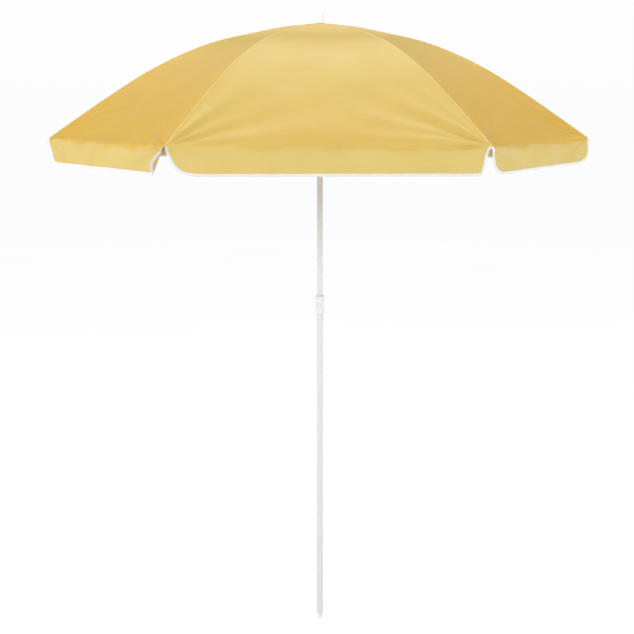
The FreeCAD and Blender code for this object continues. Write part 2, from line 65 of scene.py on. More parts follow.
def canopy_lines():
    """The corners of the cloth over a rib, as (distance from the pole, height), and the hem's height."""
    points = np.array([v.co for v in frame["nodes"]["canopy_1_left"].data.vertices])
    along = points[:, 0] * COS + points[:, 1] * SIN
    across = points[:, 1] * COS - points[:, 0] * SIN
    on_middle = np.abs(across) < 0.4 * MM
    along, height = along[on_middle], points[on_middle, 2]
    order = np.argsort(along)
    along, height = along[order], height[order]
    groups = np.split(np.arange(len(along)), np.flatnonzero(np.diff(along) > 2 * MM) + 1)
    corners = [(along[g].mean() / COS, (height[g].max() + height[g].min()) / 2) for g in groups]
    rim = groups[-1]
    half_cloth = (height[groups[-2]].max() - height[groups[-2]].min()) / 2
    corners[-1] = (along[rim].mean() / COS, height[rim].max() - half_cloth)
    return np.array(corners), height[rim].min()


def rounded(corners, share=0.45, steps=40):
    """The line through the corners, with each corner but the ends rounded."""
    line = [corners[0]]
    for before, corner, after in zip(corners, corners[1:], corners[2:]):
        back, on = before - corner, after - corner
        reach = share * min(np.linalg.norm(back), np.linalg.norm(on))
        first = corner + back / np.linalg.norm(back) * reach
        last = corner + on / np.linalg.norm(on) * reach
        for u in np.linspace(0, 1, steps):
            line.append((1 - u) ** 2 * first + 2 * u * (1 - u) * corner + u * u * last)
    return np.array([*line, corners[-1]])


CORNERS, HEM_HEIGHT = canopy_lines()
LINE = rounded(CORNERS)
LENGTHS = np.r_[0, np.cumsum(np.linalg.norm(np.diff(LINE, axis=0), axis=1))]
RIM = LENGTHS[-1]  # length of cloth from the crown's hole to the rim, over a rib
RIM_RADIUS, RIM_HEIGHT = LINE[-1]
HALF_RIM = RIM_RADIUS * SIN
VALANCE = RIM_HEIGHT - HEM_HEIGHT
CLOTH = 0.4 * MM
FLARE = math.radians(2.5)
HANG = np.array([math.sin(FLARE), -math.cos(FLARE)])


def smooth(x):
    x = np.clip(x, 0, 1)
    return x * x * (3 - 2 * x)


# distances in from the rib in mm, and how much of the valance's depth the notch leaves there
NOTCH_REACH = 110 * MM
NOTCHES = {
    "wide": ((0, 3, 9, 18, 30, 46, 64, 84, 110), (0.02, 0.14, 0.34, 0.57, 0.77, 0.905, 0.97, 1.0, 1.0)),
    "steep": (
        (0, 6, 11, 14, 16, 18, 20, 24, 30, 110),
        (0.02, 0.13, 0.26, 0.42, 0.62, 0.80, 0.92, 0.99, 1.0, 1.0),
    ),
}
STEEP_CORNERS = ((5, 1), (2, -1), (3, 1))  # (gore, side)


def notch_curve(inner, left):
    """The notch's rounded edge, as (distances in, share of the valance left)."""
    steps = np.linspace(0, NOTCH_REACH, 221)
    depth = np.interp(steps, np.array(inner) * MM, left)
    for _ in range(6):
        depth[1:-1] = (depth[:-2] + 2 * depth[1:-1] + depth[2:]) / 4
    return steps, depth


NOTCH_CURVES = {name: notch_curve(*notch) for name, notch in NOTCHES.items()}


def edge_depth(gore, side, inward):
    """How deep the valance is at a distance in from the rib's plane."""
    steps, depth = NOTCH_CURVES["steep" if (gore, side) in STEEP_CORNERS else "wide"]
    return np.interp(inward, steps, depth) * VALANCE


# how the valance's corners curl, by (gore, side): a point on the fold line (in, down), the line's turn, and
# the curl's radius, angle and way, in mm and degrees
CURLS = {
    (4, 1): (14, 8, 48, 7, 105, 1),
    (5, 1): (12, 6, 60, 24, 34, -1),
    (5, -1): (10, 20, 50, 40, 12, -1),
    (6, -1): (12, 12, 52, 24, 26, -1),
    (6, 1): (16, 10, 50, 20, 40, 1),
    (4, -1): (14, 10, 52, 22, 35, -1),
    (1, -1): (14, 12, 50, 20, 30, -1),
    (1, 1): (16, 14, 48, 16, 45, 1),
    (2, -1): (12, 10, 52, 24, 40, -1),
    (2, 1): (14, 12, 50, 22, 25, -1),
    (3, -1): (14, 10, 46, 12, 70, 1),
    (3, 1): (12, 10, 54, 26, 35, -1),
}


def curled(gore, side, inward, below):
    """Moves points of a valance corner round its fold line: (inward, below, how far out of the sheet)."""
    at_in, at_down, turn, radius, angle, way = CURLS[gore, side]
    line = np.array([math.cos(math.radians(turn)), math.sin(math.radians(turn))])
    out_of_line = np.array([-line[1], line[0]])
    past = (inward - at_in * MM) * out_of_line[0] + (below - at_down * MM) * out_of_line[1]
    past = np.maximum(past, 0)
    radius, angle = radius * MM, math.radians(angle)
    bend = np.minimum(past / radius, angle)
    straight = past - bend * radius
    flat = radius * np.sin(bend) + straight * math.cos(angle)
    rise = radius * (1 - np.cos(bend)) + straight * math.sin(angle)
    return inward + (flat - past) * out_of_line[0], below + (flat - past) * out_of_line[1], rise * way


def half_width(down):
    return np.interp(np.minimum(down, RIM), LENGTHS, LINE[:, 0]) * SIN


def line_at(down):
    """(distance from the pole, height) in the gore's middle plane, at a length down the cloth."""
    return np.stack([np.interp(down, LENGTHS, LINE[:, 0]) * COS, np.interp(down, LENGTHS, LINE[:, 1])], -1)


def section(down, reach):
    """As line_at, but on over the valance, with the crease at the rim rounded by reach."""
    place = line_at(np.minimum(down, RIM)) + np.maximum(down - RIM, 0)[..., None] * HANG
    u = np.clip((down - RIM + reach) / (2 * reach), 0, 1)[..., None]
    first = line_at(RIM - reach)
    corner = np.array([RIM_RADIUS * COS, RIM_HEIGHT])
    curve = (1 - u) ** 2 * first + 2 * u * (1 - u) * corner + u * u * (corner + reach[..., None] * HANG)
    return np.where((np.abs(down - RIM) < reach)[..., None], curve, place)


FIRST_SEED = 70
WAVES = {}
for gore_number in range(1, GORES + 1):
    random = np.random.default_rng(FIRST_SEED + gore_number)
    WAVES[gore_number] = {
        "slow": [
            (random.uniform(9, 30), random.uniform(0, math.pi), random.uniform(0, 6.28)) for _ in range(6)
        ],
        "hang": [(random.uniform(18, 42), random.uniform(0, 6.28), random.uniform(0.4, 1)) for _ in range(4)],
        "rays": {
            side: (random.uniform(-0.3, 0.3), random.uniform(0.8, 1.2), random.uniform(0, 6.28))
            for side in (-1, 1)
        },
        "ripple": random.uniform(0, 6.28),
    }


# heights of the cloth's waves: slow ones, fine ripple, puckers at a seam and at the hem, the valance's waves,
# and the folds that fan out from a notch
SLOW_WAVE, RIPPLE, SEAM_PUCKER, HEM_PUCKER = 0.7 * MM, 0.10 * MM, 0.22 * MM, 0.22 * MM
HANG_WAVE, NOTCH_FOLD = 2.6 * MM, 4.2 * MM


def wrinkles(gore, across, down):
    """How far the cloth stands out from its taut shape."""
    wave = WAVES[gore]
    half = half_width(down)
    from_rib = np.maximum(half - np.abs(across), 0)
    share = from_rib / half
    loose = smooth(share / 0.3) * smooth(down / 0.25)
    out = np.zeros_like(across)
    for pitch, way, phase in wave["slow"]:
        out += SLOW_WAVE * np.sin(pitch * (math.cos(way) * across + math.sin(way) * down) + phase) * loose
    ripple = np.sin(down * 250 + 2.2 * np.sin(across * 19 + wave["ripple"]) + 1.5 * np.sin(down * 31))
    patch = smooth(0.5 + 0.5 * np.sin(across * 13 + wave["ripple"] * 2) * np.sin(down * 11 + wave["ripple"]))
    out += RIPPLE * ripple * patch * loose
    pucker = np.sin(down * 560 + 1.3 * np.sin(down * 87)) * np.exp(-from_rib / (11 * MM))
    pucker *= smooth(from_rib / (4 * MM))
    out += SEAM_PUCKER * pucker * smooth((RIM - down) / 0.02)
    below = np.maximum(down - RIM, 0)
    for pitch, phase, amount in wave["hang"]:
        lean = phase + 14 * np.sin(phase) * below
        swing = HANG_WAVE * amount * (below / VALANCE) ** 1.1 * np.sin(pitch * across + lean)
        out += swing * smooth(share / 0.12)
    depth = np.where(across < 0, edge_depth(gore, -1, from_rib), edge_depth(gore, 1, from_rib))
    to_edge = np.maximum(RIM + depth - down, 0)
    hem = HEM_PUCKER * np.sin(across * 520 + np.sin(across * 60))
    out += hem * np.exp(-((to_edge - 14 * MM) / (8 * MM)) ** 2) * (down > RIM)
    for side, (turn, spread, phase) in wave["rays"].items():
        inward, up = HALF_RIM - side * across, RIM - down
        reach = np.hypot(inward, up) + 1e-9
        angle = np.arctan2(up, inward)
        near = np.sqrt(reach / (75 * MM)) * np.exp(0.5 - reach / (150 * MM))
        rib_edge = smooth((1.17 - angle) / 0.25) * smooth((reach - 4 * MM) / (25 * MM))
        fold = np.cos(9.5 * spread * (angle - 0.72 - turn))
        fold = fold + 0.7 * np.cos(19 * spread * (angle - 0.3) + phase)
        above = smooth((angle + 0.5) / 0.4)
        out += NOTCH_FOLD * near * fold * rib_edge * above * smooth(reach / (70 * MM))
    return out


def sag(down, share):
    """How far the taut gore dips between its ribs."""
    run = np.clip(down / RIM, 0, 1)
    depth = 15 * MM * np.sin(np.pi * run ** 1.2) ** 1.2 + 7 * MM * smooth((run - 0.35) / 0.65)
    return depth * (1 - (1 - share) ** 2)


def cloth_at(gore, across, down):
    """Points of the middle of the cloth. across is from the gore's middle plane, down is along the cloth."""
    across, down = np.broadcast_arrays(np.asarray(across, float), np.asarray(down, float))
    side = np.where(across < 0, -1, 1)
    inward = np.where(down > RIM, HALF_RIM - np.abs(across), 1.0)
    moved_across, moved_down, rise = across.copy(), down.copy(), np.zeros_like(across)
    for one_side in (-1, 1):
        here = (side == one_side) & (down > RIM) & (inward < 0.13)
        new_in, new_below, out = curled(gore, one_side, inward[here], down[here] - RIM)
        moved_across[here] = one_side * (HALF_RIM - new_in)
        moved_down[here] = RIM + new_below
        rise[here] = out
    half = half_width(down)
    share = np.clip(1 - np.abs(across) / half, 0, 1)
    reach = 3 * MM + 11 * MM * smooth(share / 0.25)
    step = 0.4 * MM
    here, ahead = section(moved_down - step, reach), section(moved_down + step, reach)
    run = ahead - here
    run /= np.linalg.norm(run, axis=-1, keepdims=True)
    outward = np.stack([-run[..., 1], run[..., 0]], -1)
    lift = wrinkles(gore, across, down) - sag(down, share) + rise
    place = section(moved_down, reach) + outward * lift[..., None]
    middle = (gore - 0.5) * 2 * HALF_ANGLE
    x = place[..., 0] * math.cos(middle) - moved_across * math.sin(middle)
    y = place[..., 0] * math.sin(middle) + moved_across * math.cos(middle)
    return np.stack([x, y, place[..., 1]], -1)


def cloth_normal(gore, across, down, side):
    """Unit normals of the cloth, pointing up and out, taken on one side of the gore's middle."""
    step = 0.5 * MM
    limit = half_width(down)
    low = np.clip(across - step, 0 if side > 0 else -limit, limit if side > 0 else 0)
    high = np.clip(across + step, 0 if side > 0 else -limit, limit if side > 0 else 0)
    along_across = cloth_at(gore, high, down) - cloth_at(gore, low, down)
    start = np.maximum(down - step, 0)
    share = np.clip(1 - np.abs(across) / half_width(down), 0, 1)
    before = np.sign(side) * (1 - share) * half_width(start)
    after = np.sign(side) * (1 - share) * half_width(down + step)
    along_down = cloth_at(gore, after, down + step) - cloth_at(gore, before, start)
    normal = np.cross(along_down, along_across)
    size = np.linalg.norm(normal, axis=-1, keepdims=True)
    return normal / np.maximum(size, 1e-15)


# ---------------------------------------------------------------- meshes


def new_object(name, points, faces, materials, face_materials=None, uv=None, sharp=None):
    """A mesh object with smooth faces, and sharp edges where both ends are in the same set of sharp."""
    mesh = bpy.data.meshes.new(name)
    mesh.from_pydata(points.tolist(), [], faces)
    mesh.update()
    mesh.polygons.foreach_set("use_smooth", np.ones(len(mesh.polygons), bool))
    for one in materials:
        mesh.materials.append(one)
    if face_materials is not None:
        mesh.polygons.foreach_set("material_index", np.asarray(face_materials, np.int32))
    if sharp is not None:
        edges = np.zeros(len(mesh.edges) * 2, np.int32)
        mesh.edges.foreach_get("vertices", edges)
        edges = edges.reshape(-1, 2)
        marked = np.zeros(len(edges), bool)
        for group in sharp:
            member = np.zeros(len(points), bool)
            member[group] = True
            marked |= member[edges].all(1)
        mesh.edges.foreach_set("use_edge_sharp", marked)
    if uv is not None:
        layer = mesh.uv_layers.new(name="cloth")
        corners = np.zeros(len(mesh.loops), np.int32)
        mesh.loops.foreach_get("vertex_index", corners)
        layer.data.foreach_set("uv", np.asarray(uv)[corners].astype(np.float32).ravel())
    mesh.update()
    made = bpy.data.objects.new(name, mesh)
    bpy.context.collection.objects.link(made)
    return made


def shell(points, normals, thick):
    """A closed thin sheet from a grid of points: (points, faces, border groups)."""
    rows, columns = points.shape[:2]
    count = rows * columns
    index = np.arange(count).reshape(rows, columns)
    over = (points + normals * thick / 2).reshape(-1, 3)
    under = (points - normals * thick / 2).reshape(-1, 3)
    a, b, c, d = index[:-1, :-1], index[:-1, 1:], index[1:, 1:], index[1:, :-1]
    top = np.stack([a, d, c, b], -1).reshape(-1, 4)
    faces = top.tolist() + (top[:, ::-1] + count).tolist()
    border = np.concatenate([index[0, :-1], index[:-1, -1], index[-1, :0:-1], index[:0:-1, 0]])
    for one, two in zip(border, np.roll(border, -1)):
        faces.append([int(one), int(two), int(two) + count, int(one) + count])
    return np.concatenate([over, under]), faces, (border, border + count)


def tube_faces(rows, ring, offset=0):
    """Faces of a closed tube made of rows of ring points, with its two ends filled."""
    faces = []
    for row in range(rows - 1):
        for k in range(ring):
            one, two = row * ring + k, row * ring + (k + 1) % ring
            faces.append([offset + one, offset + two, offset + two + ring, offset + one + ring])
    faces.append([offset + k for k in range(ring - 1, -1, -1)])
    faces.append([offset + (rows - 1) * ring + k for k in range(ring)])
    return faces


def stitches(places, normals, directions, length, width, height, offset=0):
    """Small raised threads: each is a pointed pad that lies along a direction on the cloth."""
    across = np.cross(normals, directions)
    shape = [(-0.5, 0, 0.1), (-0.25, 1, 0.1), (0.25, 1, 0.1), (0.5, 0, 0.1)]
    shape += [(0.25, -1, 0.1), (-0.25, -1, 0.1), (-0.3, 0, 1), (0.3, 0, 1), (0, 0, -0.6)]
    points = np.concatenate(
        [
            (places + directions * length * x + across * width * y + normals * height * z)[:, None]
            for x, y, z in shape
        ],
        axis=1,
    )
    pattern = [(0, 1, 6), (1, 2, 7, 6), (2, 3, 7), (3, 4, 7), (4, 5, 6, 7), (5, 0, 6)]
    pattern += [(1, 0, 8), (2, 1, 8), (3, 2, 8), (4, 3, 8), (5, 4, 8), (0, 5, 8)]
    faces = []
    for number in range(len(places)):
        start = offset + number * len(shape)
        faces += [[start + k for k in face] for face in pattern]
    return points.reshape(-1, 3), faces


def evenly(path, pitch):
    """Fractional places along a path of points, pitch apart."""
    lengths = np.r_[0, np.cumsum(np.linalg.norm(np.diff(path, axis=0), axis=1))]
    wanted = np.arange(pitch, lengths[-1] - pitch / 2, pitch)
    return np.interp(wanted, lengths, np.arange(len(path)))


STITCH_PITCH = 3.0 * MM
STITCH_SIZE = (2.3 * MM, 0.3 * MM, 0.22 * MM)  # length, half of the width, height


def stitch_row(line, normals, offset):
    """A row of stitches, even along a line of points on the cloth."""
    wanted = evenly(line, STITCH_PITCH)
    steps = np.arange(len(line))
    places, ups = (
        np.stack([np.interp(wanted, steps, one[:, k]) for k in range(3)], -1) for one in (line, normals)
    )
    ways = np.gradient(places, axis=0)
    ways /= np.linalg.norm(ways, axis=1, keepdims=True)
    return stitches(places, ups, ways, *STITCH_SIZE, offset)


# ---------------------------------------------------------------- materials


class Nodes:
    """A material's node tree, made in short steps."""

    def __init__(self, name):
        self.material = bpy.data.materials.new(name)
        self.material.use_nodes = True
        self.tree = self.material.node_tree
        self.shader = self.tree.nodes["Principled BSDF"]
        self.output = self.tree.nodes["Material Output"]

    def node(self, kind, **settings):
        made = self.tree.nodes.new(kind)
        for key, value in settings.items():
            if key in made.inputs:
                made.inputs[key].default_value = value
            else:
                setattr(made, key, value)
        return made

    def link(self, source, target):
        self.tree.links.new(source, target)

    def place(self, kind="Object", scale=(1, 1, 1)):
        coordinates = self.node("ShaderNodeTexCoord")
        mapping = self.node("ShaderNodeMapping")
        mapping.inputs["Scale"].default_value = scale
        self.link(coordinates.outputs[kind], mapping.inputs["Vector"])
        return mapping.outputs["Vector"]

    def noise(self, place, scale, detail=3.0, roughness=0.55):
        made = self.node("ShaderNodeTexNoise", Scale=scale, Detail=detail, Roughness=roughness)
        self.link(place, made.inputs["Vector"])
        return made.outputs["Fac"]

    def wave(self, place, scale, direction, distortion=0.0, detail=0.0):
        made = self.node("ShaderNodeTexWave", Scale=scale, Distortion=distortion, Detail=detail)
        made.bands_direction = direction
        self.link(place, made.inputs["Vector"])
        return made.outputs["Fac"]

    def ramp(self, source, stops):
        made = self.node("ShaderNodeValToRGB")
        elements = made.color_ramp.elements
        while len(elements) < len(stops):
            elements.new(0.5)
        for element, (position, colour) in zip(elements, stops):
            element.position = position
            element.color = (*colour, 1)
        self.link(source, made.inputs["Fac"])
        return made.outputs["Color"]

    def span(self, source, low, high, to_low, to_high):
        made = self.node("ShaderNodeMapRange")
        for name, value in zip(("From Min", "From Max", "To Min", "To Max"), (low, high, to_low, to_high)):
            made.inputs[name].default_value = value
        self.link(source, made.inputs["Value"])
        return made.outputs["Result"]

    def math(self, operation, one, two):
        made = self.node("ShaderNodeMath", operation=operation)
        for socket, value in zip(made.inputs, (one, two)):
            if isinstance(value, (int, float)):
                socket.default_value = value
            else:
                self.link(value, socket)
        return made.outputs["Value"]

    def mix(self, share, one, two, blend="MIX"):
        made = self.node("ShaderNodeMix", data_type="RGBA", blend_type=blend)
        for socket, value in ((made.inputs[0], share), (made.inputs[6], one), (made.inputs[7], two)):
            if isinstance(value, (int, float)):
                socket.default_value = value
            elif isinstance(value, tuple):
                socket.default_value = (*value, 1)
            else:
                self.link(value, socket)
        return made.outputs[2]

    def bump(self, height, distance, strength=1.0, below=None):
        made = self.node("ShaderNodeBump", Strength=strength, Distance=distance)
        self.link(height, made.inputs["Height"])
        if below is not None:
            self.link(below, made.inputs["Normal"])
        return made.outputs["Normal"]

    def wear(self, **values):
        for key, value in values.items():
            socket = self.shader.inputs[key.replace("_", " ")]
            if isinstance(value, bpy.types.NodeSocket):
                self.link(value, socket)
            else:
                socket.default_value = value


FINE_BUMP, WEAVE_BUMP, SLUB_BUMP = 0.02 * MM, 0.05 * MM, 0.12 * MM
# painted shade for the collar's joints, and the grey that the lower tube's foot is mixed towards
JOINT_PAINTED_SHADE, FOOT_GREY = (0.42, 0.42, 0.42), (0.54, 0.535, 0.53)
# the cloth's own yellows, the slub and weave tones they are mixed towards, painted shade for the crown's
# crease and the band above the rim, painted light for the crown, and the painted sheen added to them for a
# paler gore
CLOTH_YELLOWS = [(0.25, (0.745, 0.490, 0.088)), (0.5, (0.775, 0.520, 0.104)), (0.78, (0.80, 0.548, 0.124))]
SLUB_LIGHT, SLUB_DARK, WEAVE_DARK = (0.86, 0.64, 0.21), (0.62, 0.38, 0.06), (0.50, 0.32, 0.06)
CREASE_PAINTED_SHADE, CROWN_PAINTED_LIGHT, RIM_PAINTED_SHADE = (0.71, 0.50, 0.075), (0.90, 0.69, 0.22), (0.715, 0.445, 0.02)
PAINTED_SHEEN_TINT = (0.015, 0.092, 0.074)
THROUGH_TINT, THROUGH_SHARE = (0.95, 0.80, 0.60), 0.22
# how much painted sheen each gore gets, making its cloth look paler than the deepest one
GORE_PAINTED_SHEEN = {1: 0.0, 2: 0.5, 3: 0.1, 4: 0.1, 5: 1.0, 6: 0.0}


def cloth_material(name, painted_sheen):
    """Smooth yellow taffeta: fine plain weave, slubs, a soft sheen and light that comes through, with painted
    shade at the crown's crease and above the rim, painted light on the crown and the valance, and a painted
    sheen on the paler gores.
    """
    n = Nodes(name)
    flat = n.place("UV")
    slub = n.noise(n.place("UV", (14, 260, 1)), 1.0, 3.0)
    fine_slub = n.noise(n.place("UV", (700, 40, 1)), 1.0, 2.0)
    patch = n.noise(flat, 6.0, 4.0)
    base = n.ramp(patch, CLOTH_YELLOWS)
    base = n.mix(n.span(slub, 0.35, 0.7, 0.0, 0.16), base, SLUB_LIGHT)
    base = n.mix(n.span(fine_slub, 0.35, 0.7, 0.0, 0.10), base, SLUB_DARK)
    split = n.node("ShaderNodeSeparateXYZ")
    n.link(flat, split.inputs["Vector"])
    run = split.outputs["Y"]  # metres down the cloth from the crown
    # painted sheen: past the crown, the gores listed as paler are mixed towards a paler yellow
    paler = n.mix(1.0, base, PAINTED_SHEEN_TINT, "ADD")
    fade_end = 0.40 + 0.24 * (1 - painted_sheen)
    past_crown = n.span(run, 0.31, fade_end, 0.55, painted_sheen)
    past_crown = n.math("MULTIPLY", past_crown, n.span(run, 0.45, 0.72, 1.0, 0.8))
    base = n.mix(past_crown, base, paler)
    # painted shade: a darker band along the crease below the crown
    crease = n.math("MULTIPLY", n.span(run, 0.17, 0.28, 0.0, 1.0), n.span(run, 0.28, 0.45, 0.5, 0.0))
    base = n.mix(crease, base, CREASE_PAINTED_SHADE)
    # painted light: the crown is mixed towards a lighter yellow
    base = n.mix(n.span(run, 0.13, 0.27, 0.6, 0.0), base, CROWN_PAINTED_LIGHT)
    warp = n.wave(flat, 320.0, "X", 0.6, 1.0)
    weft = n.wave(flat, 290.0, "Y", 0.6, 1.0)
    weave = n.math("MAXIMUM", warp, weft)
    base = n.mix(n.span(weave, 0.0, 1.0, 0.10, 0.0), base, WEAVE_DARK)
    down = n.math("ADD", run, n.span(n.noise(flat, 7.0, 3.0), 0.3, 0.7, -0.022, 0.018))
    # painted light: the hanging valance is mixed towards a paler yellow, more so on the gores with more
    # painted sheen
    valance = n.span(down, RIM - 0.008, RIM + 0.022, 0.0, 0.5)
    valance = n.math("MULTIPLY", valance, n.span(patch, 0.3, 0.7, 0.65, 1.0))
    base = n.mix(valance, base, (0.67 + 0.13 * painted_sheen, 0.66, 0.30 - 0.03 * painted_sheen))
    # painted shade: a deeper yellow band that grows towards the rim and stops at it, weaker towards the
    # gore's edges and on the gores with more painted sheen
    deep = n.span(down, RIM - 0.42, RIM - 0.05, 0.0, 1.0)
    deep = n.math("MULTIPLY", deep, n.span(down, RIM - 0.004, RIM + 0.01, 1.0, 0.0))
    from_middle = n.math("ABSOLUTE", split.outputs["X"], 0)
    deepest = n.span(from_middle, 0.10, 0.34, 0.42 - 0.16 * painted_sheen, 0.42 - 0.36 * painted_sheen)
    base = n.mix(n.math("MULTIPLY", deep, deepest), base, RIM_PAINTED_SHADE)
    slub_bump = n.bump(slub, SLUB_BUMP, 0.6)
    n.wear(
        Base_Color=base,
        Roughness=n.span(fine_slub, 0.3, 0.75, 0.42, 0.56),
        Normal=n.bump(weave, WEAVE_BUMP, 0.5, slub_bump),
        Sheen_Weight=0.06,
        Sheen_Roughness=0.5,
        Sheen_Tint=(1.0, 0.93, 0.6, 1),
        Specular_IOR_Level=0.42,
        Specular_Tint=(1.0, 0.97, 0.72, 1),
    )
    through = n.node("ShaderNodeBsdfTranslucent")
    n.link(n.mix(1.0, base, THROUGH_TINT, "MULTIPLY"), through.inputs["Color"])
    both = n.node("ShaderNodeMixShader")
    both.inputs["Fac"].default_value = THROUGH_SHARE
    n.link(n.shader.outputs["BSDF"], both.inputs[1])
    n.link(through.outputs["BSDF"], both.inputs[2])
    n.link(both.outputs["Shader"], n.output.inputs["Surface"])
    return n.material


def tape_material():
    """White woven binding with a fine rib across it and a little dust."""
    n = Nodes("white_binding")
    flat = n.place("UV")
    dust = n.noise(flat, 40.0, 4.0)
    base = n.ramp(dust, [(0.3, (0.69, 0.69, 0.685)), (0.7, (0.75, 0.75, 0.755))])
    rib = n.wave(flat, 420.0, "X", 0.3)
    cross = n.wave(flat, 300.0, "Y", 0.3)
    n.wear(
        Base_Color=n.mix(n.span(rib, 0.0, 1.0, 0.10, 0.0), base, (0.66, 0.64, 0.6)),
        Roughness=n.span(dust, 0.3, 0.7, 0.62, 0.78),
        Normal=n.bump(n.math("ADD", rib, cross), 0.06 * MM, 0.6),
        Sheen_Weight=0.2,
    )
    return n.material


def seam_material():
    """The folded edge of the cloth over a rib, a little paler because it is doubled."""
    n = Nodes("canopy_seam")
    flat = n.place("UV")
    tone = n.noise(flat, 30.0, 3.0)
    base = n.ramp(tone, [(0.3, (0.74, 0.52, 0.12)), (0.7, (0.78, 0.56, 0.15))])
    weave = n.math("MAXIMUM", n.wave(flat, 320.0, "X", 0.6, 1.0), n.wave(flat, 290.0, "Y", 0.6, 1.0))
    n.wear(
        Base_Color=base,
        Roughness=n.span(tone, 0.3, 0.7, 0.45, 0.6),
        Normal=n.bump(weave, WEAVE_BUMP, 0.5),
        Sheen_Weight=0.25,
    )
    return n.material


def thread_material(name, light, dark):
    """Twisted polyester thread."""
    n = Nodes(name)
    twist = n.wave(n.place("Object"), 500.0, "DIAGONAL", 1.0)
    n.wear(
        Base_Color=n.ramp(twist, [(0.2, dark), (0.8, light)]),
        Roughness=n.span(twist, 0.0, 1.0, 0.42, 0.6),
        Normal=n.bump(twist, WEAVE_BUMP, 0.5),
        Sheen_Weight=0.15,
    )
    return n.material


def plastic_material(name, light, dark, rough, coat=0.0, shaded_joint_heights=()):
    """Moulded plastic with a faint flow pattern, fine grain, rubbed patches and painted shade in its joints.
    """
    n = Nodes(name)
    place = n.place("Object")
    cloud = n.noise(place, 45.0, 3.0)
    grain_noise = n.noise(place, 2600.0, 2.0)
    rubbed = n.noise(n.place("Object", (1, 1, 0.25)), 160.0, 4.0, 0.65)
    base = n.ramp(cloud, [(0.3, dark), (0.7, light)])
    if shaded_joint_heights:
        split = n.node("ShaderNodeSeparateXYZ")
        n.link(place, split.inputs["Vector"])
        # painted shade: a darker band at each joint's height
        for height in shaded_joint_heights:
            off = n.math("ABSOLUTE", n.math("SUBTRACT", split.outputs["Z"], height), 0)
            base = n.mix(n.span(off, 1 * MM, 5 * MM, 0.34, 0.0), base, JOINT_PAINTED_SHADE)
    n.wear(
        Base_Color=base,
        Roughness=n.math(
            "ADD",
            n.span(grain_noise, 0.3, 0.7, rough - 0.03, rough + 0.03),
            n.span(rubbed, 0.55, 0.8, 0.0, 0.10),
        ),
        Normal=n.bump(grain_noise, FINE_BUMP, 0.5),
        Coat_Weight=coat,
    )
    return n.material


def paint_material(name, light, dark, rough, dull_foot=False):
    """Satin powder paint on drawn tube: orange peel, faint lengthwise streaks, rubs and a duller foot."""
    n = Nodes(name)
    place = n.place("Object")
    peel = n.noise(place, 900.0, 2.0)
    streaks = n.noise(n.place("Object", (220, 220, 3)), 1.0, 3.0)
    rubs = n.noise(n.place("Object", (500, 500, 14)), 1.0, 2.0)
    base = n.ramp(streaks, [(0.3, dark), (0.7, light)])
    if dull_foot:
        split = n.node("ShaderNodeSeparateXYZ")
        n.link(place, split.inputs["Vector"])
        base = n.mix(n.span(split.outputs["Z"], 0.1, 0.85, 0.30, 0.0), base, FOOT_GREY)
    n.wear(
        Base_Color=base,
        Roughness=n.math(
            "ADD", n.span(peel, 0.3, 0.7, rough - 0.03, rough + 0.03), n.span(rubs, 0.6, 0.8, 0.0, 0.12)
        ),
        Normal=n.bump(peel, FINE_BUMP, 0.6),
        Coat_Weight=0.15,
        Coat_Roughness=0.25,
    )
    return n.material


def steel_material(name, light, dark, rough):
    """Spring or zinc-plated steel with drawing lines."""
    n = Nodes(name)
    lines = n.noise(n.place("Object", (900, 900, 30)), 1.0, 3.0)
    spots = n.noise(n.place("Object"), 220.0, 4.0, 0.7)
    drawn = n.ramp(lines, [(0.3, dark), (0.7, light)])
    n.wear(
        Base_Color=n.mix(n.span(spots, 0.55, 0.75, 0.0, 0.35), drawn, (0.34, 0.32, 0.30)),
        Metallic=1.0,
        Roughness=n.span(spots, 0.35, 0.75, rough, rough + 0.2),
        Normal=n.bump(lines, FINE_BUMP, 0.5),
    )
    return n.material


CLOTH_MATERIALS = {gore: cloth_material(f"canopy_taffeta_{gore}", painted_sheen) for gore, painted_sheen in GORE_PAINTED_SHEEN.items()}
TAPE_MATERIAL = tape_material()
SEAM_MATERIAL = seam_material()
WHITE_THREAD = thread_material("white_thread", (0.93, 0.92, 0.9), (0.8, 0.78, 0.75))
YELLOW_THREAD = thread_material("yellow_thread", (0.80, 0.60, 0.20), (0.70, 0.48, 0.12))
SLOT_MATERIALS = {
    "white_plastic": plastic_material(
        "white_moulded_plastic", (0.79, 0.80, 0.81), (0.745, 0.755, 0.765), 0.36, 0.1
    ),
    "spring_steel": steel_material("spring_steel_drawn", (0.66, 0.67, 0.68), (0.52, 0.53, 0.54), 0.28),
    "frame_steel": paint_material("frame_steel_painted", (0.175, 0.18, 0.19), (0.13, 0.134, 0.142), 0.38),
    "tip_plastic": plastic_material("tip_moulded_plastic", (0.85, 0.85, 0.845), (0.79, 0.79, 0.785), 0.38),
}
SLEEVE_BOX, CLAMP_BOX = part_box("pole_sleeve"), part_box("pole_clamp")
COLLAR = plastic_material(
    "collar_moulded_plastic",
    (0.78, 0.80, 0.83),
    (0.735, 0.755, 0.785),
    0.40,
    shaded_joint_heights=(CLAMP_BOX[0][2], SLEEVE_BOX[0][2], SLEEVE_BOX[1][2]),
)
